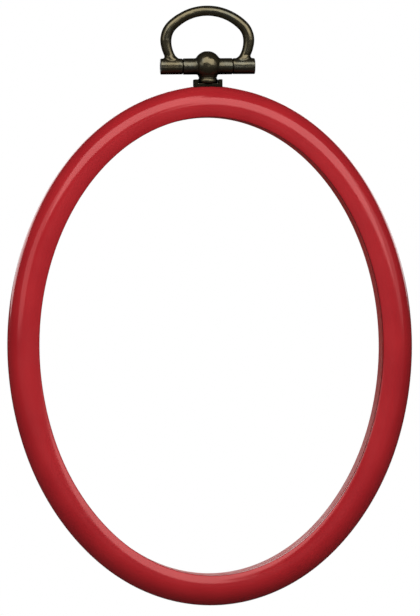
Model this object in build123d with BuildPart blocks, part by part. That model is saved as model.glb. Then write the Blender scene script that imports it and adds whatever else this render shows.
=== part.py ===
from build123d import *
import os

# Oval spring hoop for embroidery, in millimetres, hanging from its bail.
# The front faces -Y and +Z is up. The origin is the hanging point, where a nail
# bears on the underside of the bail's top. Angles are in degrees.

# Outline of the hoop, seen from the front
hoop_width = 85.0
hoop_height = 108.6
hoop_depth = 8.8

# Section of the soft outer hoop, from its outside edge inwards
clamp_wall = 4.15  # soft wall between the outside and the cloth
crown_height = 3.65  # front rounding, on the outer side of its crest
lip_drop = 1.4  # how far the lip's edge lies behind the crest
lip_thickness = 1.0  # of the lip that hides the inner hoop's front edge
lip_round = 0.3  # rounding of the lip's two edges
rim_wall = 2.4  # back rim, outside the inner hoop's flange
rim_draft = 0.35  # how far the outside leans in towards the back
rim_round = 0.6  # rounding of the outer hoop's back edge
crest_share = 0.56  # place of the crest across the band

# Section of the rigid inner hoop
inner_wall = 2.0
cloth_gap = 0.35  # radial room for the cloth between the two hoops
seat_gap = 0.1  # depthwise room where the inner hoop seats
flange_thickness = 1.0
grip_height = 0.12  # of the fine grip ridges, inside the cloth gap
grip_width = 0.5
grip_count = 3
inner_round = 0.35  # softened back edge of the inner hoop's bore

# Hanger, with heights from the pivot axis
pivot_height = 4.15  # pivot axis above the hoop's top edge
crossbar_diameter = 3.3
crossbar_overhang = 0.05  # past the bail's widest, each side
knuckle_length = 4.65
side_gap = 0.1  # each side, between the barrel and a knuckle
end_break = 0.15  # broken edges of the crossbar's ends
ball_radius = 2.8
ball_rise = 3.15  # top of the ball above the pivot axis
ball_lift = 0.2  # its widest place above the pivot axis
ball_blend = 0.5
neck_diameter = 3.9
bead_diameter = 4.1
bead_height = 1.2
waist_depth = 0.2  # of the groove between the neck and the bead
waist_height = 0.4

# Bail, a cast wire loop with a knuckle at the foot of each leg
bail_rise = 11.65  # wire centre at the top
bail_half_width = 8.7  # wire centre at the widest, from the middle
bail_waist_drop = 6.2  # from there down to the widest
bail_shoulder_radius = 4.5
bail_foot_inset = 2.7  # how far each leg leans in, at the pivot axis
bail_wire = 2.3
bail_foot_blend = 0.35

# Hinge pin
pin_diameter = 1.2
pin_clearance = 0.05  # radial, in the barrel's bore
pin_recess = 0.2  # the pin's ends lie inside the knuckles' ends
pin_break = 0.12

# Saddle plate under the post
saddle_width = 3.2
saddle_thickness = 0.7
saddle_ear = 0.8  # length of each upturned end
saddle_gap = 0.1  # each side, from the bead to an upturned end
saddle_rise = 1.6  # full height at the ends
saddle_break = 0.2
saddle_sink = 0.2  # the seat lies this far below the hoop's top edge

# Moulded boss on the outer hoop that holds the saddle
boss_width = 6.6  # where it leaves the hoop's top edge
boss_height = 0.45
boss_depth = 5.6
boss_round = 0.4
pocket_gap = 0.05  # around the saddle

# Fixing screw and its washer, in a counterbore behind the cloth
screw_diameter = 2.0
screw_hole_gap = 0.15  # radial, through the washer, the hoop and the saddle
tip_gap = 0.25  # from the screw's tip to the end of its hole
tip_wall = 0.3  # metal left between that hole and the pin's bore
head_diameter = 3.3
head_height = 1.1
head_round = 0.4
head_cover = 0.3  # from the head to the inner hoop's ridges
slot_width = 0.5
slot_depth = 0.5
washer_diameter = 3.9
washer_thickness = 0.4
counterbore_gap = 0.15  # radial, around the washer
counterbore_land = 0.1  # between the counterbore and the lip

overrun = 1.0  # cuts run this far past what they cut

# Places along the depth, from the hanger's upright axis
counterbore_radius = washer_diameter / 2 + counterbore_gap
lip_back_y = -counterbore_radius - counterbore_land
lip_edge_y = lip_back_y - lip_thickness
front_y = lip_edge_y - lip_drop
back_y = front_y + hoop_depth
crown_y = front_y + crown_height
flange_y = back_y - flange_thickness
ledge_y = flange_y - seat_gap
inner_front_y = lip_back_y + seat_gap

# Places across the band, from the outside edge inwards
inner_outside = clamp_wall + cloth_gap
band_width = inner_outside + inner_wall
crest_in = crest_share * band_width
flange_outside = rim_wall + cloth_gap
grip_crest = inner_outside - grip_height

# Heights
pivot_z = bail_wire / 2 - bail_rise
hoop_top_z = pivot_z - pivot_height
hoop_centre_z = hoop_top_z - hoop_height / 2
hoop_bottom_z = hoop_top_z - hoop_height
seat_z = hoop_top_z - saddle_sink
post_foot_z = seat_z + saddle_thickness
head_bottom_z = hoop_top_z - grip_crest + head_cover
washer_z = head_bottom_z + head_height
counterbore_z = washer_z + washer_thickness
screw_hole_top_z = pivot_z - pin_diameter / 2 - pin_clearance - tip_wall

# Lengths across the hanger, along the pivot
saddle_length = bead_diameter + 2 * (saddle_gap + saddle_ear)
crossbar_end = bail_half_width + bail_wire / 2 + crossbar_overhang
knuckle_start = crossbar_end - knuckle_length
barrel_end = knuckle_start - side_gap

# Planes: the hoop's face, the section at the hoop's foot (inwards, then to the
# back), the flat back, the hanger's face and its side
hoop_plane = Plane(origin=(0, 0, hoop_centre_z), x_dir=(1, 0, 0), z_dir=(0, -1, 0))
section_plane = Plane(origin=(0, 0, hoop_bottom_z), x_dir=(0, 0, 1), z_dir=(-1, 0, 0))
back_plane = Plane(origin=(0, back_y, 0), z_dir=(0, 1, 0))
hanger_plane = Plane(origin=(0, 0, pivot_z), x_dir=(1, 0, 0), z_dir=(0, -1, 0))
pivot_plane = Plane(origin=(0, 0, pivot_z), x_dir=(0, 1, 0), z_dir=(1, 0, 0))

os.makedirs("parts", exist_ok=True)


def draw_hoop_line():
    """Draw the oval outside edge that the sections of both hoops follow."""
    EllipticalCenterArc((0, 0), hoop_width / 2, hoop_height / 2, start_angle=-90, arc_size=360)


# Boss: an arc in the front view, with rounded ends, cut for the saddle
boss_radius = (boss_height**2 + (boss_width / 2) ** 2) / (2 * boss_height)
boss_crest = hoop_height / 2 + boss_height
with BuildPart() as boss:
    with BuildSketch(hoop_plane):
        with Locations((0, boss_crest - boss_radius)):
            Circle(boss_radius)
        with Locations((0, boss_crest)):
            Rectangle(boss_width, 2 * (boss_height + rim_wall / 2), mode=Mode.INTERSECT)
    extrude(amount=boss_depth / 2, both=True)
    boss_ends = boss.faces().filter_by(Axis.Y).edges().filter_by(GeomType.CIRCLE)
    fillet(boss_ends, radius=boss_round)

# Outer hoop: one soft moulding with a rounded front, a lip over the inner hoop's
# front edge, a rebate for the inner hoop's flange and the boss for the hanger
with BuildPart() as outer_hoop:
    with BuildLine(hoop_plane):
        draw_hoop_line()
    with BuildSketch(section_plane):
        with BuildLine():
            EllipticalCenterArc((crest_in, crown_y), crest_in, crown_height, start_angle=180, arc_size=90)
            TangentArc((crest_in, front_y), (band_width, lip_edge_y), tangent=(1, 0))
            Polyline(
                (band_width, lip_edge_y),
                (band_width, lip_back_y),
                (clamp_wall, lip_back_y),
                (clamp_wall, ledge_y),
                (rim_wall, ledge_y),
                (rim_wall, back_y + overrun),
                (rim_draft, back_y + overrun),
                (rim_draft, back_y),
                (0, crown_y),
            )
        lip = make_face()
        fillet(lip.vertices().group_by(Axis.X)[-1], radius=lip_round)
    sweep()
    split(bisect_by=back_plane, keep=Keep.BOTTOM)
    back_face = outer_hoop.faces().sort_by(Axis.Y)[-1]
    fillet(back_face.outer_wire().edges(), radius=rim_round)
    add(boss.part)
    # Pocket for the saddle
    with BuildSketch(Plane.XY.offset(seat_z)):
        Rectangle(saddle_length + 2 * pocket_gap, saddle_width + 2 * pocket_gap)
    extrude(amount=boss_height + saddle_sink + overrun, mode=Mode.SUBTRACT)
    # Counterbore for the washer and the screw's head, and the screw's hole
    with BuildSketch(Plane.XY.offset(counterbore_z)):
        Circle(counterbore_radius)
    extrude(amount=hoop_top_z - band_width - counterbore_z, mode=Mode.SUBTRACT)
    with BuildSketch(Plane.XY.offset(counterbore_z)):
        Circle(screw_diameter / 2 + screw_hole_gap)
    extrude(amount=seat_z + overrun - counterbore_z, mode=Mode.SUBTRACT)
outer_hoop.part.label = "outer_hoop"
export_step(outer_hoop.part, "parts/outer_hoop.step")

# Inner hoop: rigid, with fine grip ridges round its outside and a flange at the back
grip_span = flange_y - inner_front_y
grip_pitch = grip_span / (grip_count + 1)
with BuildPart() as inner_hoop:
    with BuildLine(hoop_plane):
        draw_hoop_line()
    with BuildSketch(section_plane):
        with BuildLine():
            Polyline(
                (inner_outside, flange_y),
                (flange_outside, flange_y),
                (flange_outside, back_y + overrun),
                (band_width, back_y + overrun),
                (band_width, inner_front_y),
                (inner_outside, inner_front_y),
                (inner_outside, flange_y),
            )
        make_face()
        for ridge in range(grip_count):
            ridge_y = inner_front_y + (ridge + 1) * grip_pitch
            with BuildLine():
                Polyline(
                    (inner_outside, ridge_y - grip_width / 2),
                    (grip_crest, ridge_y),
                    (inner_outside, ridge_y + grip_width / 2),
                    close=True,
                )
            make_face()
    sweep()
    split(bisect_by=back_plane, keep=Keep.BOTTOM)
    bore_edges = inner_hoop.faces().sort_by(Axis.Y)[-1].inner_wires()[0].edges()
    fillet(bore_edges, radius=inner_round)
inner_hoop.part.label = "inner_hoop"
export_step(inner_hoop.part, "parts/inner_hoop.step")

# Hanger post: bead, waisted neck and ball turned about the upright axis, crossed
# by the barrel; bored for the pin and tapped from below for the screw
foot = post_foot_z - pivot_z
bead_top = foot + bead_height
neck = neck_diameter / 2
waist = neck - waist_depth
with BuildPart() as hanger_post:
    with BuildSketch(pivot_plane):
        with BuildLine():
            Line((0, foot), (waist, foot))
            ThreePointArc((waist, foot), (bead_diameter / 2, foot + bead_height / 2), (waist, bead_top))
            Polyline((waist, bead_top), (neck, bead_top + waist_height), (neck, 0), (0, 0), (0, foot))
        make_face()
        with Locations((0, ball_lift)):
            Ellipse(ball_radius, ball_rise - ball_lift)
        with Locations((-ball_radius, 0)):
            Rectangle(2 * ball_radius, 4 * ball_rise, mode=Mode.SUBTRACT)
    revolve(axis=Axis.Z)
    with BuildSketch(pivot_plane):
        Circle(crossbar_diameter / 2)
    extrude(amount=barrel_end, both=True)
    ball_joins = hanger_post.edges().filter_by(GeomType.BSPLINE)
    fillet(ball_joins, radius=ball_blend)
    with BuildSketch(pivot_plane):
        Circle(pin_diameter / 2 + pin_clearance)
    extrude(amount=barrel_end + overrun, both=True, mode=Mode.SUBTRACT)
    with BuildSketch(Plane.XY.offset(post_foot_z)):
        Circle(screw_diameter / 2)
    extrude(amount=screw_hole_top_z - post_foot_z, mode=Mode.SUBTRACT)
hanger_post.part.label = "hanger_post"
export_step(hanger_post.part, "parts/hanger_post.step")

# Bail: a round wire along five tangent arcs, standing in two knuckles with the
# pin's bore through them
waist_rise = bail_rise - bail_waist_drop
shoulder_in = bail_half_width - bail_shoulder_radius
top_radius = (shoulder_in**2 + bail_waist_drop**2 - bail_shoulder_radius**2) / (
    2 * (bail_waist_drop - bail_shoulder_radius)
)
leg_radius = (bail_foot_inset**2 + waist_rise**2) / (2 * bail_foot_inset)
top_centre = Vector(0, bail_rise - top_radius)
shoulder_centre = Vector(shoulder_in, waist_rise)
shoulder_start = shoulder_centre + (shoulder_centre - top_centre).normalized() * bail_shoulder_radius
with BuildPart() as bail:
    with BuildLine(hanger_plane) as loop:
        RadiusArc((-shoulder_start.X, shoulder_start.Y), (shoulder_start.X, shoulder_start.Y), top_radius)
        for side in (-1, 1):
            waist_point = (side * bail_half_width, waist_rise)
            RadiusArc((side * shoulder_start.X, shoulder_start.Y), waist_point, side * bail_shoulder_radius)
            RadiusArc(waist_point, (side * (bail_half_width - bail_foot_inset), 0), side * leg_radius)
    wire_line = loop.wires()[0]
    with BuildSketch(Plane(origin=wire_line @ 0, z_dir=wire_line % 0)):
        Circle(bail_wire / 2)
    sweep(path=wire_line)
    for side in (-1, 1):
        with BuildSketch(pivot_plane.offset(side * knuckle_start)):
            Circle(crossbar_diameter / 2)
        extrude(amount=side * knuckle_length)
    knuckle_ends = bail.faces().filter_by(Axis.X).edges()
    chamfer(knuckle_ends, length=end_break)
    foot_joins = bail.edges().filter_by(GeomType.BSPLINE)
    fillet(foot_joins, radius=bail_foot_blend)
    with BuildSketch(pivot_plane):
        Circle(pin_diameter / 2)
    extrude(amount=crossbar_end + overrun, both=True, mode=Mode.SUBTRACT)
bail.part.label = "bail"
export_step(bail.part, "parts/bail.step")

# Hinge pin: pressed into the knuckles, a running fit in the barrel
with BuildPart() as hinge_pin:
    with BuildSketch(pivot_plane):
        Circle(pin_diameter / 2)
    extrude(amount=crossbar_end - pin_recess, both=True)
    chamfer(hinge_pin.faces().filter_by(Axis.X).edges(), length=pin_break)
hinge_pin.part.label = "hinge_pin"
export_step(hinge_pin.part, "parts/hinge_pin.step")

# Saddle plate: a shallow channel whose upturned ends stand beside the bead
saddle_half = saddle_length / 2
with BuildPart() as saddle_plate:
    with BuildSketch(Plane(origin=(0, 0, seat_z), x_dir=(1, 0, 0), z_dir=(0, -1, 0))):
        with BuildLine():
            Polyline(
                (saddle_half, 0),
                (saddle_half, saddle_rise),
                (saddle_half - saddle_ear, saddle_rise),
                (saddle_half - saddle_ear, saddle_thickness),
                (0, saddle_thickness),
            )
            Line((0, 0), (saddle_half, 0))
            mirror(about=Plane.YZ)
        make_face()
    extrude(amount=saddle_width / 2, both=True)
    fillet(saddle_plate.edges().filter_by(Axis.Y).group_by(Axis.Z)[-1], radius=saddle_break)
    with BuildSketch(Plane.XY.offset(seat_z)):
        Circle(screw_diameter / 2 + screw_hole_gap)
    extrude(amount=saddle_rise, mode=Mode.SUBTRACT)
saddle_plate.part.label = "saddle_plate"
export_step(saddle_plate.part, "parts/saddle_plate.step")

# Washer under the screw's head
with BuildPart() as screw_washer:
    with BuildSketch(Plane.XY.offset(washer_z)):
        Circle(washer_diameter / 2)
        Circle(screw_diameter / 2 + screw_hole_gap, mode=Mode.SUBTRACT)
    extrude(amount=washer_thickness)
screw_washer.part.label = "screw_washer"
export_step(screw_washer.part, "parts/screw_washer.step")

# Fixing screw: a slotted pan head below, its shank up through the hoop into the post
with BuildPart() as fixing_screw:
    with BuildSketch(Plane.XY.offset(head_bottom_z)):
        Circle(head_diameter / 2)
    extrude(amount=head_height)
    fillet(fixing_screw.edges().sort_by(Axis.Z)[0], radius=head_round)
    with BuildSketch(Plane.XY.offset(washer_z)):
        Circle(screw_diameter / 2)
    extrude(amount=screw_hole_top_z - tip_gap - washer_z)
    with BuildSketch(Plane.XY.offset(head_bottom_z)):
        Rectangle(slot_width, head_diameter + overrun)
    extrude(amount=slot_depth, mode=Mode.SUBTRACT)
fixing_screw.part.label = "fixing_screw"
export_step(fixing_screw.part, "parts/fixing_screw.step")
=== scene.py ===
"""Embroidery hoop: the finished look of a small oval spring hoop and its cast hanger.

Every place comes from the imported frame. Heights run along +Z, the rounded front
looks along -Y, and the origin is the point that hangs on the nail. Meshes are
worked out in millimetres and turned to the frame's metres last, so every length
below is in millimetres and every angle in degrees, unless its comment says otherwise.
"""
import logging
import math
from dataclasses import dataclass, field
from enum import Enum

import bmesh
import bpy
import numpy as np
from mathutils import Matrix, Vector, noise


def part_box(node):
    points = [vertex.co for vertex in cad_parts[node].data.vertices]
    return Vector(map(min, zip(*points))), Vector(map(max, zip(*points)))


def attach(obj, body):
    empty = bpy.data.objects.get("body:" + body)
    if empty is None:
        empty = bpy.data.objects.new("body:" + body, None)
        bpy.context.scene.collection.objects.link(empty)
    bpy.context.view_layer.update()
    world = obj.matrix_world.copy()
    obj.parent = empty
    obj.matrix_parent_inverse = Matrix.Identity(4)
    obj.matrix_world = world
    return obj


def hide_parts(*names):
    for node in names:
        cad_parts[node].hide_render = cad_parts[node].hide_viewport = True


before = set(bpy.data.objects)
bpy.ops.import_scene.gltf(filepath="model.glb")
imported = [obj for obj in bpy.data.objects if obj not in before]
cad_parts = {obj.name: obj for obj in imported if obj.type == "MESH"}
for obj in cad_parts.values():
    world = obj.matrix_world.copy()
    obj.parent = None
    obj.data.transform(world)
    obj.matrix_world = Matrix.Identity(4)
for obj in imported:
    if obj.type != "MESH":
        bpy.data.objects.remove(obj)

MM = 0.001
SMOOTH_ANGLE = math.radians(40)

# Corners of the CAD mesh that are nearer than this are one corner
WELD_DISTANCE = 0.001
# How far a cutting tool stands out of the face that it cuts
CLEARANCE = 1.0
# Sides of a round cutting tool
ROD_SIDES = 64
# Points for each length of softness, before a soft outline is thinned
SOFT_STEPS = 8

# Sockets of the Mix node when it mixes colours
MIX_FACTOR = 0
MIX_FIRST = 6
MIX_SECOND = 7
MIX_RESULT = 2

# Finer octaves in a soft noise, and how strong each is beside the one before
SOFT_DETAIL = 2.0
OCTAVE_FADE = 0.55
# Distance between two bands of the wave texture when its scale is one
WAVE_BAND = math.pi / 10
# Rays that feel for shelter at each point of a surface
SHELTER_SAMPLES = 8
# Cycles spreads an area lamp's power over this many times its area
LAMP_SPREAD = 4

log = logging.getLogger("hoop")

Socket = bpy.types.NodeSocket
Tree = bpy.types.NodeTree
Colour = tuple[float, float, float, float]


class Body(Enum):
    """The frame's bodies, by what moves together."""

    BAIL = "bail"
    HOOP = "hoop"
    INNER = "inner"


class Slot(Enum):
    """The record's material slots, by name; the new pieces aren't put into them."""

    VINYL = "red_vinyl"
    PLASTIC = "red_plastic"
    BRASS = "antique_brass"


class Axis(Enum):
    """The axis that a turned piece was spun round on the lathe."""

    X = "X"
    Z = "Z"


class Side(Enum):
    """The side of the hoop that a lamp stands on, as a step along Y."""

    FRONT = -1
    BACK = 1


def linear(hex_colour: str) -> Colour:
    """Turn an sRGB hex colour into the linear colour that shaders use.

    Args:
        hex_colour: Six hex digits after a hash.

    Returns:
        Linear red, green, blue and an alpha of one, by the sRGB standard's curve.
    """
    parts = [int(hex_colour[start : start + 2], 16) / 255 for start in (1, 3, 5)]
    flat = [c / 12.92 if c <= 0.04045 else ((c + 0.055) / 1.055) ** 2.4 for c in parts]
    return (*flat, 1.0)


def add_node(
    tree: Tree, kind: str, inputs: dict[str | int, object] | None = None, **settings: object
) -> bpy.types.Node:
    """Add a shader node, set its options, and fill or link its inputs.

    Args:
        tree: The node tree that takes the node.
        kind: The node's type name.
        inputs: A value or an output socket for each input, by name or number.
        **settings: The node's own options.

    Returns:
        The new node.
    """
    node = tree.nodes.new(kind)
    for name, value in settings.items():
        setattr(node, name, value)
    for key, value in (inputs or {}).items():
        if isinstance(value, Socket):
            tree.links.new(value, node.inputs[key])
        else:
            node.inputs[key].default_value = value
    return node


def span(node: str) -> tuple[np.ndarray, np.ndarray]:
    """Give the lowest and highest corner of a CAD node, in millimetres."""
    low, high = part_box(node)
    return np.array(low) / MM, np.array(high) / MM


@dataclass(frozen=True)
class Patches:
    """Soft patches on a surface, such as stains, smudges or rubbed places.

    The size is the width of one patch. Where the noise is below start the surface is
    bare, where it is above end the patch is full, and the nearer the two are, the
    crisper is the patch's edge.
    """

    size: float
    start: float = 0.3
    end: float = 0.7
    detail: float = SOFT_DETAIL

    def draw(self, tree: Tree, place: Socket, bare: float = 0.0, full: float = 1.0) -> Socket:
        """Draw the patches as a value that other nodes can use.

        Args:
            tree: The material's node tree.
            place: Coordinates in metres.
            bare: The value on the bare surface.
            full: The value inside a patch.

        Returns:
            The value, held between bare and full.
        """
        clouds = {
            "Vector": place,
            "Scale": 1 / (self.size * MM),
            "Detail": self.detail,
            "Roughness": OCTAVE_FADE,
        }
        levels = {
            "Value": add_node(tree, "ShaderNodeTexNoise", clouds).outputs["Fac"],
            "From Min": self.start,
            "From Max": self.end,
            "To Min": bare,
            "To Max": full,
        }
        return add_node(tree, "ShaderNodeMapRange", levels).outputs["Result"]


@dataclass(frozen=True)
class Relief:
    """Fine unevenness of a surface, with the real width and height of its bumps."""

    size: float
    depth: float

    def raise_over(self, tree: Tree, place: Socket, under: Socket | None = None) -> Socket:
        """Raise the bumps on a surface, or over a relief that it has already.

        Args:
            tree: The material's node tree.
            place: Coordinates in metres.
            under: The normal of a coarser relief below this one.

        Returns:
            The uneven surface's normal.
        """
        clouds = {
            "Vector": place,
            "Scale": 1 / (self.size * MM),
            "Detail": SOFT_DETAIL,
            "Roughness": OCTAVE_FADE,
        }
        bumps = {
            "Height": add_node(tree, "ShaderNodeTexNoise", clouds).outputs["Fac"],
            "Distance": self.depth * MM,
            "Strength": 1.0,
        }
        if under is not None:
            bumps["Normal"] = under
        return add_node(tree, "ShaderNodeBump", bumps).outputs["Normal"]


@dataclass(frozen=True)
class Shelter:
    """Shelter from hands, cloth and light: dark oxide stays there, and shade is painted there.

    The reach is how far away a neighbouring surface still shelters a place. A place
    that sees less than the share start of the sky is a corner, and one that sees more
    than the share end is open.
    """

    reach: float
    start: float
    end: float

    def openness(self, tree: Tree) -> Socket:
        """Tell open places from sheltered ones.

        Args:
            tree: The material's node tree.

        Returns:
            A factor from 0 in a corner to 1 in the open.
        """
        sky = add_node(
            tree,
            "ShaderNodeAmbientOcclusion",
            {"Distance": self.reach * MM},
            samples=SHELTER_SAMPLES,
        )
        levels = {"Value": sky.outputs["AO"], "From Min": self.start, "From Max": self.end}
        return add_node(tree, "ShaderNodeMapRange", levels).outputs["Result"]


@dataclass(frozen=True)
class Finish:
    """One surface finish of the real hoop.

    Each kind starts from a common material and how its surface was made.
    """

    name: str

    def material(self) -> bpy.types.Material:
        """Make the Blender material of this finish, once for all its pieces.

        Returns:
            The material, with its shader linked to the output.
        """
        made = bpy.data.materials.get(self.name)
        if made is not None:
            return made
        material = bpy.data.materials.new(self.name)
        material.use_nodes = True
        tree = material.node_tree
        tree.nodes.clear()
        place = add_node(tree, "ShaderNodeTexCoord").outputs["Object"]
        surface = add_node(tree, "ShaderNodeBsdfPrincipled", self.surface(tree, place))
        add_node(tree, "ShaderNodeOutputMaterial", {"Surface": surface.outputs["BSDF"]})
        return material

    def surface(self, tree: Tree, place: Socket) -> dict[str | int, object]:
        """Work out the shader's inputs; each kind of finish has its own."""
        raise NotImplementedError


@dataclass(frozen=True)
class GlossyVinyl(Finish):
    """Plasticised PVC, injection-moulded in a polished tool.

    It gives the eye a deep, even red with one crisp streak of light, a faint
    orange-peel ripple inside the streak, and dull smudges where hands hold it.
    """

    deep: str = "#A02026"
    full: str = "#AA252A"
    # The dark red of the shade painted into sheltered corners
    corner_shade: str = "#3A0C0E"
    gloss_tint: str = "#FFB0AE"
    ior: float = 1.53
    gloss: float = 0.78
    roughness: float = 0.13
    smudged_roughness: float = 0.22
    # Pigment that the melt carried unevenly
    flow: Patches = Patches(11.0)
    # Grease from hands, in dull places about half a fingertip wide
    smudges: Patches = Patches(5.0, 0.5, 0.75, detail=4.0)
    # Painted shade: darker red where neighbours shelter the surface, in the seat of the hanger and
    # where the two hoops meet
    corners: Shelter = Shelter(1.1, 0.25, 0.75)
    # Orange peel, as wide and shallow as on moulded PVC
    ripple: Relief = Relief(1.8, 0.0016)
    # Polishing marks are finer than 0.05 mm, so they are drawn a pixel wide to show
    grain: Relief = Relief(0.22, 0.0003)

    def colour(self, tree: Tree, place: Socket) -> Socket:
        """Tint the vinyl, with shade painted darker into its corners.

        Args:
            tree: The material's node tree.
            place: Coordinates in metres.

        Returns:
            The base colour.
        """
        clean = {
            MIX_FACTOR: self.flow.draw(tree, place),
            MIX_FIRST: linear(self.deep),
            MIX_SECOND: linear(self.full),
        }
        wiped = add_node(tree, "ShaderNodeMix", clean, data_type="RGBA")
        # Painted shade: the vinyl turns to the dark red where its corners are sheltered
        corner_shaded = {
            MIX_FACTOR: self.corners.openness(tree),
            MIX_FIRST: linear(self.corner_shade),
            MIX_SECOND: wiped.outputs[MIX_RESULT],
        }
        return add_node(tree, "ShaderNodeMix", corner_shaded, data_type="RGBA").outputs[MIX_RESULT]

    def surface(self, tree: Tree, place: Socket) -> dict[str | int, object]:
        """Work out the vinyl's surface.

        Args:
            tree: The material's node tree.
            place: Coordinates in metres.

        Returns:
            The principled shader's inputs.
        """
        ripple = self.ripple.raise_over(tree, place)
        return {
            "Base Color": self.colour(tree, place),
            "Roughness": self.smudges.draw(tree, place, self.roughness, self.smudged_roughness),
            "IOR": self.ior,
            "Specular IOR Level": self.gloss,
            "Specular Tint": linear(self.gloss_tint),
            "Normal": self.grain.raise_over(tree, place, ripple),
        }


@dataclass(frozen=True)
class SatinPlastic(Finish):
    """Polystyrene, injection-moulded in a spark-eroded tool.

    It gives the eye a slightly lighter, more orange red than the vinyl, with a fine
    even grain and a broad dull sheen in place of the streak.
    """

    deep: str = "#AC2924"
    full: str = "#BC3129"
    ior: float = 1.59
    gloss: float = 0.2
    roughness: float = 0.46
    rubbed_roughness: float = 0.36
    # Pigment that the melt carried unevenly
    flow: Patches = Patches(14.0)
    # Places that cloth and fingers have rubbed a little brighter
    rubbing: Patches = Patches(14.0 / 3, 0.45, 0.7, detail=3.0)
    # Sparks leave pits of about 0.05 mm, drawn twice as wide to show at all
    grain: Relief = Relief(0.12, 0.006)

    def surface(self, tree: Tree, place: Socket) -> dict[str | int, object]:
        """Work out the rigid plastic's surface.

        Args:
            tree: The material's node tree.
            place: Coordinates in metres.

        Returns:
            The principled shader's inputs.
        """
        tints = {
            MIX_FACTOR: self.flow.draw(tree, place),
            MIX_FIRST: linear(self.deep),
            MIX_SECOND: linear(self.full),
        }
        colour = add_node(tree, "ShaderNodeMix", tints, data_type="RGBA")
        return {
            "Base Color": colour.outputs[MIX_RESULT],
            "Roughness": self.rubbing.draw(tree, place, self.roughness, self.rubbed_roughness),
            "IOR": self.ior,
            "Specular IOR Level": self.gloss,
            "Normal": self.grain.raise_over(tree, place),
        }


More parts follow.
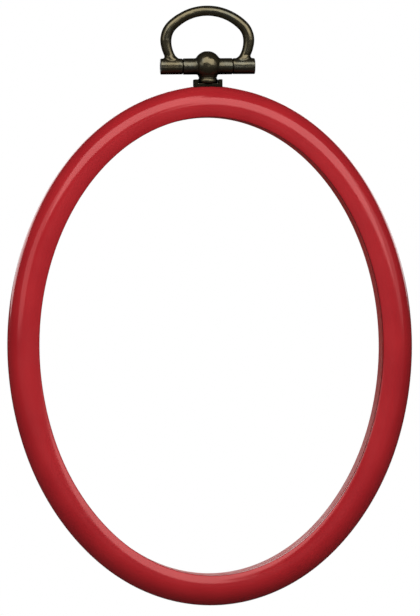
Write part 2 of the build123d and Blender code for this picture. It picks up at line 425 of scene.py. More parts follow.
@dataclass(frozen=True)
class AntiqueBrass(Finish):
    """Cast zinc alloy, brass plated, blackened and rubbed back.

    It gives the eye a dark olive-brown metal, near black with oxide in its corners and
    sheltered hollows and near black as painted shade on the undersides that face the
    hoop, with greenish-gold streaks where cloth rubbed the plating bright again. The
    oxide that is left is a little less metallic than bare brass.
    """

    black: str = "#0F0D09"
    patina: str = "#5F5845"
    rubbed: str = "#7F7252"
    tarnish: str = "#5B5D55"
    # Painted shade: a dark grey edge tint that darkens the metal's reflections along its outlines
    rim_shade_tint: str = "#333333"
    edge_gloss: float = 0.3
    oxide_metallic: float = 0.89
    roughness: float = 0.23
    rubbed_roughness: float = 0.15
    black_roughness: float = 0.6
    tarnish_share: float = 0.7
    # The pointiness at which an edge begins to be rubbed, and is rubbed bright
    edge_start: float = 0.49
    edge_end: float = 0.56
    # Patches that the rubbing cloth reached
    blotches: Patches = Patches(1.9, 0.36, 0.66, detail=4.0)
    # Places where the plating has gone greyish green
    tarnishing: Patches = Patches(3.4, 0.45, 0.65)
    # Tight corners, where the black oxide is real; and a wide reach, partly oxide in the hollow
    # round the ball under the bail and partly painted shade on the undersides that face the hoop
    corners: Shelter = Shelter(0.6, 0.35, 0.95)
    hollows_and_underside_shade: Shelter = Shelter(8.0, 0.62, 1.0)
    # Shallow dents from tumbling the castings
    dents: Relief = Relief(0.9, 0.02)
    # A casting's pits are about 0.1 mm wide, drawn a pixel wide to show
    grain: Relief = Relief(0.25, 0.008)

    def bare(self, tree: Tree) -> Socket:
        """Find the places that the rubbing cloth could reach, and the undersides where black is
        painted as shade.

        Args:
            tree: The material's node tree.

        Returns:
            A factor from 0, black oxide or painted shade, to 1, cleared.
        """
        both = {0: self.corners.openness(tree), 1: self.hollows_and_underside_shade.openness(tree)}
        return add_node(tree, "ShaderNodeMath", both, operation="MULTIPLY").outputs["Value"]

    def worn(self, tree: Tree, blotch: Socket) -> Socket:
        """Find the high places that were rubbed down to the bright plating.

        Args:
            tree: The material's node tree.
            blotch: The patches that the cloth reached.

        Returns:
            A factor from 0, patina, to 1, bright.
        """
        edge = add_node(tree, "ShaderNodeNewGeometry").outputs["Pointiness"]
        levels = {"Value": edge, "From Min": self.edge_start, "From Max": self.edge_end}
        raised = add_node(tree, "ShaderNodeMapRange", levels).outputs["Result"]
        both = {0: raised, 1: blotch}
        return add_node(tree, "ShaderNodeMath", both, operation="MULTIPLY").outputs["Value"]

    def colour(self, tree: Tree, place: Socket, worn: Socket, bare: Socket) -> Socket:
        """Lay tarnish, bright plating and black over the patina.

        Args:
            tree: The material's node tree.
            place: Coordinates in metres.
            worn: How far the plating is rubbed bright.
            bare: How far the black, oxide in corners and painted shade on undersides, was cleared
                away.

        Returns:
            The base colour.
        """
        under = linear(self.patina)
        tarnished = self.tarnishing.draw(tree, place, full=self.tarnish_share)
        for share, tint in ((tarnished, self.tarnish), (worn, self.rubbed)):
            tints = {MIX_FACTOR: share, MIX_FIRST: under, MIX_SECOND: linear(tint)}
            under = add_node(tree, "ShaderNodeMix", tints, data_type="RGBA").outputs[MIX_RESULT]
        # Black oxide in tight corners; on the undersides that face the hoop this black is painted
        # shade
        tints = {MIX_FACTOR: bare, MIX_FIRST: linear(self.black), MIX_SECOND: under}
        return add_node(tree, "ShaderNodeMix", tints, data_type="RGBA").outputs[MIX_RESULT]

    def dullness(self, tree: Tree, blotch: Socket, bare: Socket) -> Socket:
        """Polish what the cloth rubbed, and leave the black oxide dull.

        Args:
            tree: The material's node tree.
            blotch: The patches that the cloth reached.
            bare: How far the black, oxide in corners and painted shade on undersides, was cleared
                away.

        Returns:
            The roughness.
        """
        levels = {"Value": blotch, "To Min": self.roughness, "To Max": self.rubbed_roughness}
        cleared = add_node(tree, "ShaderNodeMapRange", levels).outputs["Result"]
        levels = {"Value": bare, "To Min": self.black_roughness, "To Max": cleared}
        return add_node(tree, "ShaderNodeMapRange", levels).outputs["Result"]

    def surface(self, tree: Tree, place: Socket) -> dict[str | int, object]:
        """Work out the plated casting's surface.

        Args:
            tree: The material's node tree.
            place: Coordinates in metres.

        Returns:
            The principled shader's inputs.
        """
        blotch = self.blotches.draw(tree, place)
        worn = self.worn(tree, blotch)
        # Oxide in corners, and painted shade on the undersides that face the hoop
        bare = self.bare(tree)
        plated = {"Value": worn, "To Min": self.oxide_metallic, "To Max": 1.0}
        dents = self.dents.raise_over(tree, place)
        return {
            "Base Color": self.colour(tree, place, worn, bare),
            "Metallic": add_node(tree, "ShaderNodeMapRange", plated).outputs["Result"],
            "Roughness": self.dullness(tree, blotch, bare),
            "Specular IOR Level": self.edge_gloss,
            # The dark edge tint paints shade onto the outlines
            "Specular Tint": linear(self.rim_shade_tint),
            "Normal": self.grain.raise_over(tree, place, dents),
        }


@dataclass(frozen=True)
class TurnedSteel(Finish):
    """Mild steel, turned on a lathe and plated or darkened.

    It gives the eye a grey metal with fine rings round its axis, duller where the
    plating is stained.
    """

    base: str = "#B9B6AC"
    stained: str = "#8F8B80"
    axis: Axis = Axis.Z
    roughness: float = 0.32
    # How many times rougher a stain is than the clean steel
    stain_dulling: float = 1.4
    stains: Patches = Patches(0.8, 0.4, 0.7, detail=3.0)
    # A lathe's feed on small parts, so fine that it shows as a silky sheen
    ring_pitch: float = 0.088
    ring_depth: float = 0.004
    ring_waver: float = 0.6

    def rings(self, tree: Tree, place: Socket) -> Socket:
        """Turn the tool's rings into the surface.

        Args:
            tree: The material's node tree.
            place: Coordinates in metres.

        Returns:
            The ringed surface's normal.
        """
        waves = {
            "Vector": place,
            "Scale": WAVE_BAND / (self.ring_pitch * MM),
            "Distortion": self.ring_waver,
        }
        tool = add_node(
            tree,
            "ShaderNodeTexWave",
            waves,
            wave_type="RINGS",
            rings_direction=self.axis.value,
        )
        cuts = {
            "Height": tool.outputs["Fac"],
            "Distance": self.ring_depth * MM,
            "Strength": 1.0,
        }
        return add_node(tree, "ShaderNodeBump", cuts).outputs["Normal"]

    def surface(self, tree: Tree, place: Socket) -> dict[str | int, object]:
        """Work out the turned steel's surface.

        Args:
            tree: The material's node tree.
            place: Coordinates in metres.

        Returns:
            The principled shader's inputs.
        """
        stain = self.stains.draw(tree, place)
        tints = {
            MIX_FACTOR: stain,
            MIX_FIRST: linear(self.base),
            MIX_SECOND: linear(self.stained),
        }
        levels = {
            "Value": stain,
            "To Min": self.roughness,
            "To Max": self.roughness * self.stain_dulling,
        }
        colour = add_node(tree, "ShaderNodeMix", tints, data_type="RGBA")
        return {
            "Base Color": colour.outputs[MIX_RESULT],
            "Metallic": 1.0,
            "Roughness": add_node(tree, "ShaderNodeMapRange", levels).outputs["Result"],
            "Normal": self.rings(tree, place),
        }


def put(name: str, data: bpy.types.ID) -> bpy.types.Object:
    """Put a mesh, a lamp or a camera into the scene as an object.

    Args:
        name: The object's name.
        data: What the object holds.

    Returns:
        The new object.
    """
    thing = bpy.data.objects.new(name, data)
    bpy.context.scene.collection.objects.link(thing)
    return thing


def solid(name: str, form: bmesh.types.BMesh) -> bpy.types.Object:
    """Turn a finished bmesh into an object, and free it.

    Args:
        name: The object's name.
        form: The form, which isn't used again.

    Returns:
        The new object.
    """
    mesh = bpy.data.meshes.new(name)
    form.to_mesh(mesh)
    form.free()
    return put(name, mesh)


def rod(
    name: str, low: Vector, high: Vector, radius: float, sides: int = ROD_SIDES
) -> bpy.types.Object:
    """Make a closed round rod between two points.

    Args:
        name: The object's name.
        low: Centre of one end.
        high: Centre of the other end.
        radius: The rod's radius.
        sides: How many sides it has.

    Returns:
        The rod.
    """
    along = high - low
    turn = along.to_track_quat("Z", "Y").to_matrix().to_4x4()
    form = bmesh.new()
    bmesh.ops.create_cone(
        form,
        cap_ends=True,
        segments=sides,
        radius1=radius,
        radius2=radius,
        depth=along.length,
        matrix=Matrix.Translation((low + high) / 2) @ turn,
    )
    return solid(name, form)


def block(name: str, low: np.ndarray, high: np.ndarray) -> bpy.types.Object:
    """Make a closed box between two corners.

    Args:
        name: The object's name.
        low: The lowest corner.
        high: The highest corner.

    Returns:
        The box.
    """
    size = Matrix.Diagonal((*(high - low), 1.0))
    middle = Matrix.Translation(Vector((low + high) / 2))
    form = bmesh.new()
    bmesh.ops.create_cube(form, size=1.0, matrix=middle @ size)
    return solid(name, form)


def settle(piece: bpy.types.Object) -> None:
    """Turn an object's modifiers into its own mesh.

    Args:
        piece: The object, which has no modifiers afterwards.
    """
    graph = bpy.context.evaluated_depsgraph_get()
    mesh = bpy.data.meshes.new_from_object(piece.evaluated_get(graph))
    piece.modifiers.clear()
    piece.data = mesh


def cut(piece: bpy.types.Object, cutters: list[bpy.types.Object]) -> None:
    """Cut solids out of a piece and delete them.

    Args:
        piece: The object that is cut.
        cutters: Closed objects, which may not outlive the cut.
    """
    for cutter in cutters:
        tool = piece.modifiers.new("cut", "BOOLEAN")
        tool.operation = "DIFFERENCE"
        tool.solver = "EXACT"
        tool.object = cutter
    settle(piece)
    for cutter in cutters:
        bpy.data.objects.remove(cutter)


def dress(piece: bpy.types.Object, finish: Finish) -> None:
    """Give a piece one finish, and smooth shading that keeps its hard edges.

    Args:
        piece: A piece with a mesh.
        finish: Its finish.
    """
    piece.data.materials.clear()
    piece.data.materials.append(finish.material())
    piece.data.shade_smooth()
    piece.data.set_sharp_from_angle(angle=SMOOTH_ANGLE)


def seat(piece: bpy.types.Object, body: Body, nodes: list[str]) -> None:
    """Turn a piece to metres and let it stand for CAD nodes on a body.

    Args:
        piece: A piece made in millimetres.
        body: The body that it moves with.
        nodes: The CAD nodes that it replaces.
    """
    piece.data.transform(Matrix.Scale(MM, 4))
    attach(piece, body.value)
    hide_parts(*nodes)


@dataclass
class OvalLine:
    """The oval outside edge of the hoop, which both hoops' sections follow.

    A moulding cools unevenly, so its ring wanders inwards a little in a few waves
    round the oval, which drift so that no two are alike.
    """

    stations: int = 320
    # Radians each side of the top where the stations lie closer, beside the hanger
    fine_reach: float = 0.12
    fine_stations: int = 56
    fine_margin: float = 1.05
    waves: int = 9
    drift: int = 3
    centre: float = field(init=False)
    half_width: float = field(init=False)
    half_height: float = field(init=False)
    top: float = field(init=False)
    bottom: float = field(init=False)
    front: float = field(init=False)
    back: float = field(init=False)

    def __post_init__(self) -> None:
        """Take the oval's places from the frame."""
        low, high = span("outer_hoop")
        inner_low, inner_high = span("inner_hoop")
        self.centre = (inner_low[2] + inner_high[2]) / 2
        self.half_width = high[0]
        self.half_height = self.centre - low[2]
        self.top = self.centre + self.half_height
        self.bottom = low[2]
        self.front, self.back = low[1], high[1]

    def angles(self) -> np.ndarray:
        """Space the stations round the oval, closer beside the hanger.

        Returns:
            Their angles in radians, from the top.
        """
        coarse = np.linspace(-math.pi, math.pi, self.stations, endpoint=False)
        fine = np.linspace(-self.fine_reach, self.fine_reach, self.fine_stations)
        away = coarse[np.abs(coarse) > self.fine_reach * self.fine_margin]
        return np.unique(np.concatenate([away, fine]))

    def at(self, turn: np.ndarray, inwards: np.ndarray) -> tuple[np.ndarray, np.ndarray]:
        """Give the X and Z of points that lie inside the oval.

        Args:
            turn: Angles from the top in radians, in the ellipse's own measure.
            inwards: Distance inwards, square to the oval.

        Returns:
            X and Z.
        """
        normal = np.hypot(np.sin(turn) * self.half_height, np.cos(turn) * self.half_width)
        x = np.sin(turn) * (self.half_width - inwards * self.half_height / normal)
        z = self.centre + np.cos(turn) * (self.half_height - inwards * self.half_width / normal)
        return x, z

    def sweep(self, name: str, section: np.ndarray, slack: float) -> bpy.types.Object:
        """Carry a closed section round the oval.

        Args:
            name: The new object's name.
            section: Points as (n, 2): distance inwards from the oval, and depth.
            slack: How far the moulding wanders inwards round the oval.

        Returns:
            The swept ring, one row of points for each station.
        """
        turn = self.angles()[:, None]
        wander = slack / 2 * (1 - np.cos(self.waves * turn + np.sin(self.drift * turn)))
        x, z = self.at(turn, section[:, 0][None, :] + wander)
        points = np.stack([x, np.broadcast_to(section[:, 1][None, :], x.shape), z], axis=-1)
        ids = np.arange(x.size).reshape(x.shape)
        beside = np.roll(ids, -1, axis=0)
        corners = [ids, beside, np.roll(beside, -1, axis=1), np.roll(ids, -1, axis=1)]
        mesh = bpy.data.meshes.new(name)
        faces = np.stack(corners, axis=-1).reshape(-1, 4)
        mesh.from_pydata(points.reshape(-1, 3).tolist(), [], faces.tolist())
        mesh.update()
        return put(name, mesh)


def soft_outline(
    corners: np.ndarray, softness: float, spacing: float, turn: float
) -> np.ndarray:
    """Round every corner of a closed outline, as a polished mould does.

    The outline is walked in even steps and blurred with a bell curve as wide as the
    softness. Then only the points that its bends and its length need are kept.

    Args:
        corners: Points round the outline, in order, as (n, 2).
        softness: How far the rounding spreads along the outline.
        spacing: The widest gap between the points given back.
        turn: The sharpest turn at one of those points.

    Returns:
        Points round the softened outline, closer together where it curves.
    """
    closed = np.vstack([corners, corners[:1]])
    along = np.concatenate([[0.0], np.cumsum(np.linalg.norm(np.diff(closed, axis=0), axis=1))])
    steps = int(along[-1] / softness * SOFT_STEPS)
    even = np.linspace(0.0, along[-1], steps, endpoint=False)
    points = np.interp(even, along, closed[:, 0]) + 1j * np.interp(even, along, closed[:, 1])
    waves = np.fft.fftfreq(steps, d=along[-1] / steps)
    bell = np.exp(-2 * (math.pi * softness * waves) ** 2)
    soft = np.fft.ifft(np.fft.fft(points) * bell)
    step = np.roll(soft, -1) - soft
    bend = np.abs(np.angle(np.roll(step, -1) / step))
    need = np.cumsum(np.abs(step) / spacing + np.degrees(bend) / turn)
    cost = np.concatenate([[0.0], need])
    picks = np.linspace(0.0, cost[-1], int(cost[-1]) + 1, endpoint=False)
    whole = np.append(soft, soft[0])
    chosen = [np.interp(picks, cost, part) for part in (whole.real, whole.imag)]
    return np.column_stack(chosen)


def smooth_step(value: np.ndarray, low: float, high: float) -> np.ndarray:
    """Rise smoothly from 0 at low to 1 at high."""
    share = np.clip((value - low) / (high - low), 0.0, 1.0)
    return share * share * (3 - 2 * share)


@dataclass(frozen=True)
class GateMark:
    """A moulding gate: a shallow dimple with the broken stub of the sprue in it."""

    dimple_radius: float
    dimple_depth: float
    stub_radius: float
    stub_height: float
    # How uneven the broken stub is, as a share of its size, and its tears across
    raggedness: float = 0.12
    tears: float = 3.0
    # The stub is a ball drawn out this many times, and broken off at its height
    stub_stretch: float = 3.0
    stub_divisions: int = 4

    def press(self, piece: bpy.types.Object, centre: Vector) -> None:
        """Sink the mark into a piece's back.

        Args:
            piece: The moulding.
            centre: The mark's centre on the back face.
        """
        floor = centre - Vector((0, self.dimple_depth, 0))
        above = centre + Vector((0, CLEARANCE, 0))
        cut(piece, [rod("dimple", floor, above, self.dimple_radius)])
        form = bmesh.new()
        form.from_mesh(piece.data)
        stub = bmesh.ops.create_icosphere(
            form, subdivisions=self.stub_divisions, radius=self.stub_radius
        )
        for vertex in stub["verts"]:
            place = vertex.co.copy()
            ragged = self.raggedness * noise.noise(place * self.tears / self.stub_radius)
            broken = self.stub_height * (1 + ragged * 2)
            out = math.copysign(min(abs(place.z) * self.stub_stretch, broken), place.z)
            vertex.co = floor + Vector((place.x * (1 + ragged), out, place.y * (1 + ragged)))
        # The ball's Y and Z change places above, which turns its faces inside out
        faces = {face for vertex in stub["verts"] for face in vertex.link_faces}
        bmesh.ops.reverse_faces(form, faces=list(faces))
        form.to_mesh(piece.data)
        form.free()


@dataclass
class OuterHoop:
    """The soft outer hoop: crest, lip, rebate, and the dome that seats the hanger.

    Its section runs from the widest place over the crest, down the lip's flank, into
    the rebate that holds the inner hoop, and out over the rim to the drafted wall.
    """

    line: OvalLine
    finish: Finish
    band_width: float = 6.5
    crest_in: float = 4.05
    crown_height: float = 4.75
    crown_points: int = 40
    flank_radius: float = 5.5
    flank_points: int = 30
    lip_back_drop: float = 2.4
    clamp_wall: float = 4.15
    rim_wall: float = 2.4
    rim_draft: float = 0.35
    ledge_depth: float = 1.1
    softness: float = 0.16
    point_spacing: float = 0.45
    point_turn: float = 8.0
    slack: float = 0.03
    # The fine groove where the mould's halves met, on the outside wall
    witness_from_crown: float = 0.3
    witness_depth: float = 0.03
    witness_width: float = 0.1
    witness_reach: float = 3.0
    witness_points: int = 13
    wall_limit: float = 0.2
    # The low dome that the moulding rises to under the hanger
    dome_rise: float = 0.15
    dome_half: float = 2.7
    dome_blend: float = 0.1
    dome_flat: float = 1.9
    dome_reach: float = 3.4
    dome_share: float = 0.9
    # The saddle's pocket, and the screw's hole with its counterbored well
    pocket_gap: float = 0.05
    counterbore_radius: float = 2.1
    well_depth: float = 5.0
    hole_radius: float = 1.15
    hole_overlap: float = 0.5
    gate: GateMark = GateMark(0.75, 0.14, 0.36, 0.1)

    def section(self) -> np.ndarray:
        """Draw the moulded section.

        Returns:
            Points as distance inwards from the outside edge, and depth.
        """
        front, back = self.line.front, self.line.back
        rise = np.radians(np.linspace(0, 90, self.crown_points))
        outside = self.crest_in * (1 - np.cos(rise))
        crown = np.column_stack([outside, front + self.crown_height * (1 - np.sin(rise))])
        radius = self.flank_radius
        steepest = math.asin((self.band_width - self.crest_in) / radius)
        fall = np.linspace(0, steepest, self.flank_points)[1:]
        inside = self.crest_in + radius * np.sin(fall)
        flank = np.column_stack([inside, front + radius * (1 - np.cos(fall))])
        lip_back = front + self.lip_back_drop
        rest = [
            (self.band_width, lip_back),
            (self.clamp_wall, lip_back),
            (self.clamp_wall, back - self.ledge_depth),
            (self.rim_wall, back - self.ledge_depth),
            (self.rim_wall, back),
            (self.rim_draft, back),
        ]
        corners = np.vstack([crown, flank, rest])
        soft = soft_outline(corners, self.softness, self.point_spacing, self.point_turn)
        return self.witness(soft)

    def witness(self, outline: np.ndarray) -> np.ndarray:
        """Press the fine line of the mould's join into the outside wall.

        Args:
            outline: The section's points.

        Returns:
            The points with the line's groove among them.
        """
        crown_end = self.line.front + self.crown_height
        centre = crown_end + self.witness_from_crown
        reach = self.witness_reach * self.witness_width
        on_wall = outline[:, 0] < self.wall_limit
        near = on_wall & (np.abs(outline[:, 1] - centre) < reach)
        depth = centre + np.linspace(reach, -reach, self.witness_points)
        groove = self.witness_depth * np.exp(-(((depth - centre) / self.witness_width) ** 2))
        drafted = np.clip((depth - crown_end) / (self.line.back - crown_end), 0, 1)
        wall = self.rim_draft * drafted
        last = np.flatnonzero(on_wall & (outline[:, 1] >= centre + reach))[-1]
        after = outline[last + 1 :][~near[last + 1 :]]
        before = outline[: last + 1][~near[: last + 1]]
        return np.vstack([before, np.column_stack([wall + groove, depth]), after])

    def raise_dome(self, piece: bpy.types.Object) -> None:
        """Lift the top of the ring into the low dome under the hanger.

        Args:
            piece: The swept ring.
        """
        count = len(piece.data.vertices)
        place = np.empty(count * 3)
        piece.data.vertices.foreach_get("co", place)
        place = place.reshape(-1, 3)
        x, y, z = place.T
        top = self.line.top + self.dome_rise
        radius = (self.dome_rise**2 + self.dome_half**2) / (2 * self.dome_rise)
        reach = np.clip(1 - (x / self.line.half_width) ** 2, 0, 1)
        edge = self.line.centre + self.line.half_height * np.sqrt(reach)
        arc = top - radius + np.sqrt(np.clip(radius**2 - x**2, 0, None))
        over = arc - edge
        lift = (over + np.sqrt(over**2 + self.dome_blend**2)) / 2
        under = smooth_step(z, self.line.top - self.rim_wall, self.line.top - self.rim_wall / 2)
        lift *= under * (1 - smooth_step(np.abs(y), self.dome_flat, self.dome_reach))
        beside = np.abs(x) < radius * self.dome_share
        place[:, 2] = np.where(beside, np.minimum(z + lift, top), z)
        piece.data.vertices.foreach_set("co", place.ravel())
        piece.data.update()

    def bore(self, piece: bpy.types.Object) -> None:
        """Cut the saddle's pocket, and the well and hole of the screw.

        Args:
            piece: The ring with its dome.
        """
        saddle_low, saddle_high = span("saddle_plate")
        washer_high = span("screw_washer")[1]
        gap = np.array([self.pocket_gap, self.pocket_gap, 0.0])
        pocket = block("pocket", saddle_low - gap, saddle_high + gap)
        well_top = Vector((0, 0, washer_high[2]))
        well_bottom = well_top - Vector((0, 0, self.well_depth))
        well = rod("well", well_bottom, well_top, self.counterbore_radius)
        hole_bottom = well_top - Vector((0, 0, self.hole_overlap))
        hole_top = Vector((0, 0, saddle_low[2] + CLEARANCE))
        hole = rod("hole", hole_bottom, hole_top, self.hole_radius)
        cut(piece, [pocket, well, hole])

    def build(self) -> list[bpy.types.Object]:
        """Mould the outer hoop.

        Returns:
            The finished outer hoop, riding on the hoop's body.
        """
        piece = self.line.sweep("moulded_outer_hoop", self.section(), self.slack)
        self.raise_dome(piece)
        self.bore(piece)
        rim_middle = Vector((0, self.line.back, self.line.bottom + self.rim_wall / 2))
        self.gate.press(piece, rim_middle)
        dress(piece, self.finish)
        seat(piece, Body.HOOP, ["outer_hoop"])
        return [piece]


@dataclass
class InnerHoop:
    """The rigid inner hoop: thin wall, grip ridges, back flange and mould marks.

    The widths are measured inwards from the outside edge of the outer hoop.
    """

    line: OvalLine
    finish: Finish
    band_width: float = 6.5
    outside: float = 4.5
    flange_outside: float = 2.75
    flange_thickness: float = 1.0
    front_setback: float = 2.5
    grips: int = 3
    grip_height: float = 0.12
    grip_width: float = 0.5
    softness: float = 0.07
    point_spacing: float = 0.5
    point_turn: float = 12.0
    slack: float = 0.02
    # The round marks of the pins that push the moulding off the tool
    ejectors: int = 10
    ejector_radius: float = 1.05
    ejector_depth: float = 0.07
    ejector_sides: int = 40
    gate: GateMark = GateMark(1.2, 0.25, 0.5, 0.16)

    def section(self) -> np.ndarray:
        """Draw the moulded section, from the flange round the bore to the ridges.

        Returns:
            Points as distance inwards from the hoop's outside edge, and depth.
        """
        back = self.line.back
        front = self.line.front + self.front_setback
        flange = back - self.flange_thickness
        points = [
            (self.outside, flange),
            (self.flange_outside, flange),
            (self.flange_outside, back),
            (self.band_width, back),
            (self.band_width, front),
            (self.outside, front),
        ]
        pitch = (flange - front) / (self.grips + 1)
        for grip in range(1, self.grips + 1):
            middle = front + grip * pitch
            points += [
                (self.outside, middle - self.grip_width / 2),
                (self.outside - self.grip_height, middle),
                (self.outside, middle + self.grip_width / 2),
            ]
        return soft_outline(
            np.array(points), self.softness, self.point_spacing, self.point_turn
        )

    def mark(self, piece: bpy.types.Object) -> None:
        """Press the ejector pins' circles and the gate into the back flange.

        Args:
            piece: The swept ring.
        """
        middle = (self.flange_outside + self.band_width) / 2
        turns = math.pi * (2 * np.arange(self.ejectors) + 1) / self.ejectors
        x, z = self.line.at(turns, np.full(self.ejectors, middle))
        floor = self.line.back - self.ejector_depth
        above = self.line.back + CLEARANCE
        pins = []
        for across, up in zip(x, z):
            ends = Vector((across, floor, up)), Vector((across, above, up))
            pins.append(rod("ejector", *ends, self.ejector_radius, self.ejector_sides))
        cut(piece, pins)
        foot = self.line.at(np.array(math.pi), np.array(middle))
        self.gate.press(piece, Vector((0, self.line.back, float(foot[1]))))

    def build(self) -> list[bpy.types.Object]:
        """Mould the inner hoop.

        Returns:
            The finished inner hoop, riding on its own body.
        """
        piece = self.line.sweep("moulded_inner_hoop", self.section(), self.slack)
        self.mark(piece)
        dress(piece, self.finish)
        seat(piece, Body.INNER, ["inner_hoop"])
        return [piece]


@dataclass
class Casting:
    """A cast or pressed piece of the hanger, with the skin of a plated casting.

    The CAD form is closed in cells of one size and polished, which eats into it, so
    the skin is swelled out again by as much. It is slimmer by slim at slim_heights.
    """

    node: str
    body: Body
    finish: Finish
    cell: float = 0.1
    polish: float = 0.5
    polish_steps: int = 3
    swell: float = 0.04
    parting_height: float = 0.025
    parting_width: float = 0.13
    uneven_size: float = 1.2
    uneven: float = 0.012
    sag_size: float = 4.0
    sag: float = 0.02
    # Sets each casting's unevenness this far from that of a name one letter shorter
    pattern_step: float = 10.0
    slim_heights: tuple[float, ...] = (0.0,)
    slim: tuple[float, ...] = (0.0,)

    def skinned(self) -> bpy.types.Object:
        """Copy the CAD form and close it in one even, softened skin.

        Returns:
            The skinned copy.
        """
        form = bmesh.new()
        form.from_mesh(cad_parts[self.node].data)
        form.transform(Matrix.Scale(1 / MM, 4))
        bmesh.ops.remove_doubles(form, verts=form.verts, dist=WELD_DISTANCE)
        piece = solid(f"cast_{self.node}", form)
        skin = piece.modifiers.new("skin", "REMESH")
        skin.mode = "VOXEL"
        skin.voxel_size = self.cell
        polish = piece.modifiers.new("polish", "SMOOTH")
        polish.factor = self.polish
        polish.iterations = self.polish_steps
        settle(piece)
        return piece

    def age(self, piece: bpy.types.Object) -> None:
        """Give the skin its unevenness and the fine line where the mould parted.

        Args:
            piece: The skinned copy, which stays inside the CAD node's box.
        """
        low, high = span(self.node)
        offset = self.pattern_step * len(self.node)
        normals = [Vector(normal.vector) for normal in piece.data.vertex_normals]
        for vertex, normal in zip(piece.data.vertices, normals):
            place = vertex.co
            rough = noise.noise(place / self.uneven_size + Vector((offset, 0, 0)))
            slump = noise.noise(place / self.sag_size + Vector((0, offset, 0)))
            parting = self.parting_height * math.exp(-((place.y / self.parting_width) ** 2))
            thin = np.interp(place.z, self.slim_heights, self.slim)
            shift = parting + self.swell - thin + self.uneven * rough + self.sag * min(slump, 0.0)
            moved = place + normal * shift
            vertex.co = [min(max(at, least), most) for at, least, most in zip(moved, low, high)]
        piece.data.update()

    def build(self) -> bpy.types.Object:
        """Cast the piece.

        Returns:
            The finished piece, riding on its body.
        """
        piece = self.skinned()
        self.age(piece)
        dress(piece, self.finish)
        seat(piece, self.body, [self.node])
        return piece


@dataclass
class Hanger:
    """The hanger: three brassy castings, the hinge pin, and the screw that holds it.

    The bail's wire isn't even: from the feet at the pin, up to the top over the nail,
    it is slimmer than the CAD's one size by bail_slim at each of bail_heights.
    """

    brass: Finish
    # A darker copy of the brass, which paints the shade that the saddle plate sits in
    shaded_brass: Finish
    pin: Finish
    screw: Finish
    bail_heights: tuple[float, ...] = (-8.95, -8.2, -5.0, -2.0, 0.8)
    bail_slim: tuple[float, ...] = (0.0, 0.18, 0.03, 0.05, 0.15)
    # The saddle is pressed from sheet, with sharper corners and no parting line
    saddle_cell: float = 0.06
    saddle_parting: float = 0.0
    # The small radius that deburring leaves on a turned edge
    edge_break: float = 0.03
    edge_steps: int = 2

    def castings(self) -> list[Casting]:
        """List the pieces that are cast or pressed.

        Returns:
            The bail, the post and the saddle plate, not yet built.
        """
        return [
            Casting(
                "bail",
                Body.BAIL,
                self.brass,
                slim_heights=self.bail_heights,
                slim=self.bail_slim,
            ),
            Casting("hanger_post", Body.HOOP, self.brass),
            Casting(
                "saddle_plate",
                Body.HOOP,
                self.shaded_brass,
                cell=self.saddle_cell,
                parting_height=self.saddle_parting,
            ),
        ]

    def turned(self, node: str, finish: Finish) -> bpy.types.Object:
        """Finish a turned piece, which keeps its CAD shape.

        Args:
            node: The CAD node.
            finish: Its finish.

        Returns:
            The node's object, with its edges broken.
        """
        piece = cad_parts[node]
        piece.data.materials.clear()
        piece.data.materials.append(finish.material())
        soften = piece.modifiers.new("broken_edges", "BEVEL")
        soften.width = self.edge_break * MM
        soften.segments = self.edge_steps
        soften.limit_method = "ANGLE"
        return piece

    def build(self) -> list[bpy.types.Object]:
        """Make the castings and finish the turned pieces.

        Returns:
            Every piece of the hanger.
        """
        cast = [casting.build() for casting in self.castings()]
        pin = self.turned("hinge_pin", self.pin)
        screw = self.turned("fixing_screw", self.screw)
        washer = self.turned("screw_washer", self.screw)
        return [*cast, pin, screw, washer]


@dataclass(frozen=True)
class Lamp:
    """A soft strip lamp, level from side to side, on an arc round the hoop.

    Its height is an angle above the Y axis on its own side, so that the place of
    its streak on the rounded band can be worked out, and half_angle is half of the
    arc that the strip covers. A radiance of one is white. One that isn't mirrored
    lights the hoop without showing in its gloss. The distance, the length from side
    to side and the step aside to the right are in metres.
    """

    name: str
    side: Side
    height: float
    half_angle: float
    radiance: float
    mirrored: bool = True
    length: float = 1.7
    aside: float = 0.0
    distance: float = 0.8
    tint: str = "#FFFFFF"

    def stand(self, middle: Vector) -> bpy.types.Object:
        """Put the lamp in its place, facing the hoop.

        Args:
            middle: The hoop's middle, in metres.

        Returns:
            The lamp.
        """
        turn = math.radians(self.height)
        towards = Vector((0, self.side.value * math.cos(turn), math.sin(turn)))
        reach = 2 * self.distance * math.tan(math.radians(self.half_angle))
        light = bpy.data.lights.new(self.name, "AREA")
        light.shape = "RECTANGLE"
        light.color = linear(self.tint)[:3]
        light.size = self.length
        light.size_y = reach
        light.energy = LAMP_SPREAD * self.radiance * self.length * reach
        lamp = put(self.name, light)
        lamp.location = middle + towards * self.distance + Vector((self.aside, 0, 0))
        lamp.rotation_mode = "QUATERNION"
        lamp.rotation_quaternion = towards.to_track_quat("Z", "Y")
        lamp.visible_camera = False
        lamp.visible_glossy = self.mirrored
        return lamp


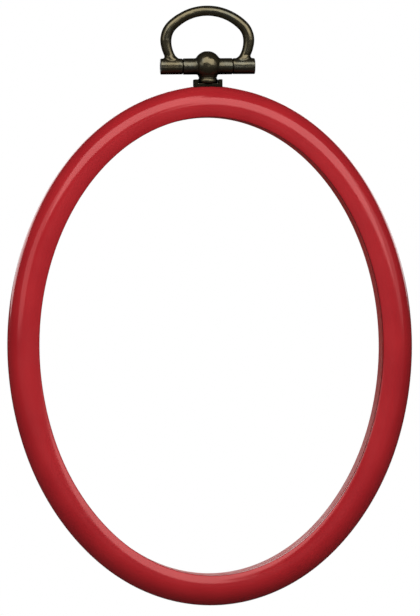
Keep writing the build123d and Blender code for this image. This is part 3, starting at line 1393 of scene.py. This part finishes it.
# The two keys meet above the hoop's middle and draw the long streak on its front. The
# side lamps carry on from their ends, and the fills open up the shadows without showing.
STUDIO_LAMPS = (
    Lamp("left_key", Side.FRONT, height=47, half_angle=22, radiance=2.2, length=0.8, aside=-0.36),
    Lamp("right_key", Side.FRONT, height=33, half_angle=23, radiance=2.2, length=0.9, aside=0.49),
    Lamp("left_side", Side.FRONT, height=30, half_angle=25, radiance=0.9, length=1.6, aside=-1.55),
    Lamp("right_side", Side.FRONT, height=30, half_angle=25, radiance=0.7, length=1.6, aside=1.75),
    Lamp("room", Side.FRONT, height=-5, half_angle=17, radiance=0.1, length=5.5, tint="#DCE6F4"),
    Lamp(
        "front_fill",
        Side.FRONT,
        height=-20,
        half_angle=28,
        radiance=1.14,
        mirrored=False,
        aside=-0.75,
    ),
    Lamp("back_strip", Side.BACK, height=14, half_angle=9, radiance=1.3),
    Lamp("back_fill", Side.BACK, height=0, half_angle=30, radiance=0.6, mirrored=False),
)


@dataclass
class Studio:
    """A white product studio: lamps, backdrop, pale floor and the camera.

    The floor's drop below the hoop and its radius, and the camera's nearest distance,
    are in metres. The camera aims above the hoop's middle, so that the hanger is in view.
    """

    line: OvalLine
    lamps: tuple[Lamp, ...] = STUDIO_LAMPS
    # Strength of the dim surroundings, as light and as seen in gloss
    ambient: float = 0.055
    mirrored_ambient: float = 0.02
    white: str = "#FFFFFF"
    floor_drop: float = 0.026
    floor_radius: float = 0.36
    floor_sides: int = 96
    # The share of the floor's radius at which it begins to fade out
    floor_fade: float = 0.35
    # The floor as the camera sees it, as it lights the hoop, and as gloss shows it
    floor_white: str = "#F4F3F1"
    floor_glow: float = 0.6
    floor_bounce: str = "#8A8A8A"
    floor_mirrored: str = "#3A3A3A"
    lens: float = 297.0
    nearest: float = 0.05
    azimuth: float = -5.5
    elevation: float = 0.61
    roll: float = -0.56
    frame_height: float = 128.8
    aim_right: float = -0.07
    aim_up: float = 7.95

    def world(self) -> None:
        """Make the surroundings: white to look at, and dim to light by."""
        world = bpy.data.worlds.new("studio")
        bpy.context.scene.world = world
        world.use_nodes = True
        tree = world.node_tree
        tree.nodes.clear()
        ray = add_node(tree, "ShaderNodeLightPath").outputs
        levels = {
            "Value": ray["Is Glossy Ray"],
            "To Min": self.ambient,
            "To Max": self.mirrored_ambient,
        }
        level = add_node(tree, "ShaderNodeMapRange", levels).outputs["Result"]
        white = linear(self.white)
        dim = add_node(tree, "ShaderNodeBackground", {"Color": white, "Strength": level})
        bright = add_node(tree, "ShaderNodeBackground", {"Color": white, "Strength": 1.0})
        views = {0: ray["Is Camera Ray"], 1: dim.outputs[0], 2: bright.outputs[0]}
        mix = add_node(tree, "ShaderNodeMixShader", views)
        add_node(tree, "ShaderNodeOutputWorld", {"Surface": mix.outputs[0]})

    def floor_material(self) -> bpy.types.Material:
        """Make a matt pale floor that fades into the white backdrop at its edge.

        Returns:
            The floor's material.
        """
        material = bpy.data.materials.new("pale_floor")
        material.use_nodes = True
        tree = material.node_tree
        tree.nodes.clear()
        ray = add_node(tree, "ShaderNodeLightPath").outputs
        place = add_node(tree, "ShaderNodeTexCoord").outputs["Object"]
        away = add_node(tree, "ShaderNodeVectorMath", {0: place}, operation="LENGTH")
        levels = {
            "Value": away.outputs["Value"],
            "From Min": self.floor_radius * self.floor_fade,
            "From Max": self.floor_radius,
        }
        fade = add_node(tree, "ShaderNodeMapRange", levels, interpolation_type="SMOOTHSTEP")
        white = linear(self.floor_white)
        matt = add_node(tree, "ShaderNodeBsdfDiffuse", {"Color": white})
        glowing = {"Color": white, "Strength": self.floor_glow}
        glow = add_node(tree, "ShaderNodeEmission", glowing)
        lit = add_node(tree, "ShaderNodeAddShader", {0: matt.outputs[0], 1: glow.outputs[0]})
        bounce = add_node(tree, "ShaderNodeBsdfDiffuse", {"Color": linear(self.floor_bounce)})
        dim = add_node(tree, "ShaderNodeBsdfDiffuse", {"Color": linear(self.floor_mirrored)})
        views = {0: ray["Is Glossy Ray"], 1: bounce.outputs[0], 2: dim.outputs[0]}
        unseen = add_node(tree, "ShaderNodeMixShader", views)
        views = {0: ray["Is Camera Ray"], 1: unseen.outputs[0], 2: lit.outputs[0]}
        seen = add_node(tree, "ShaderNodeMixShader", views)
        clear = add_node(tree, "ShaderNodeBsdfTransparent")
        edge = {0: fade.outputs["Result"], 1: seen.outputs[0], 2: clear.outputs[0]}
        mix = add_node(tree, "ShaderNodeMixShader", edge)
        add_node(tree, "ShaderNodeOutputMaterial", {"Surface": mix.outputs[0]})
        return material

    def floor(self) -> bpy.types.Object:
        """Lay the floor below the hanging hoop.

        Returns:
            The floor.
        """
        form = bmesh.new()
        bmesh.ops.create_circle(
            form, cap_ends=True, segments=self.floor_sides, radius=self.floor_radius
        )
        floor = solid("floor", form)
        floor.data.materials.append(self.floor_material())
        floor.location.z = self.line.bottom * MM - self.floor_drop
        return floor

    def camera(self, middle: Vector) -> bpy.types.Object:
        """Stand the long-lens camera a little to the left of the hoop.

        Args:
            middle: The hoop's middle, in metres.

        Returns:
            The scene's camera.
        """
        data = bpy.data.cameras.new("camera")
        data.lens = self.lens
        data.clip_start = self.nearest
        side, rise = math.radians(self.azimuth), math.radians(self.elevation)
        level = math.cos(rise)
        back = Vector((math.sin(side) * level, -math.cos(side) * level, math.sin(rise)))
        roll = Matrix.Rotation(math.radians(self.roll), 3, "Z").to_quaternion()
        turn = back.to_track_quat("Z", "Y") @ roll
        aim = middle + turn @ Vector((self.aim_right, self.aim_up, 0)) * MM
        camera = put("camera", data)
        camera.location = aim + back * (self.frame_height * MM * self.lens / data.sensor_width)
        camera.rotation_mode = "QUATERNION"
        camera.rotation_quaternion = turn
        bpy.context.scene.camera = camera
        return camera

    def build(self) -> None:
        """Set up the whole studio."""
        middle = Vector((0, 0, self.line.centre)) * MM
        lamps = [lamp.stand(middle) for lamp in self.lamps]
        self.floor()
        self.camera(middle)
        self.world()
        bpy.context.scene.view_settings.view_transform = "Standard"


def main() -> None:
    """Build the hoop, its hanger and the studio round them."""
    logging.basicConfig(level=logging.INFO, format="%(name)s: %(message)s")
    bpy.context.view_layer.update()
    line = OvalLine()
    outer = OuterHoop(line, GlossyVinyl("glossy_soft_vinyl"))
    inner = InnerHoop(line, SatinPlastic("satin_rigid_plastic"))
    hanger = Hanger(
        brass=AntiqueBrass("antique_brass_plate"),
        # The saddle's brass, darkened as painted shade
        shaded_brass=AntiqueBrass(
            "shade_painted_brass_plate", patina="#2B271E", rubbed="#4A4332", tarnish="#282925"
        ),
        pin=TurnedSteel("darkened_pin_steel", base="#6A655A", stained="#3E3A33", axis=Axis.X),
        screw=TurnedSteel("zinc_plated_steel"),
    )
    for assembly in (outer, inner, hanger):
        for piece in assembly.build():
            finish = piece.data.materials[0].name
            log.info("%s: %d faces, %s", piece.name, len(piece.data.polygons), finish)
    studio = Studio(line)
    studio.build()
    log.info("studio: %d lamps, a floor and a camera", len(studio.lamps))


if __name__ == "__main__":
    main()
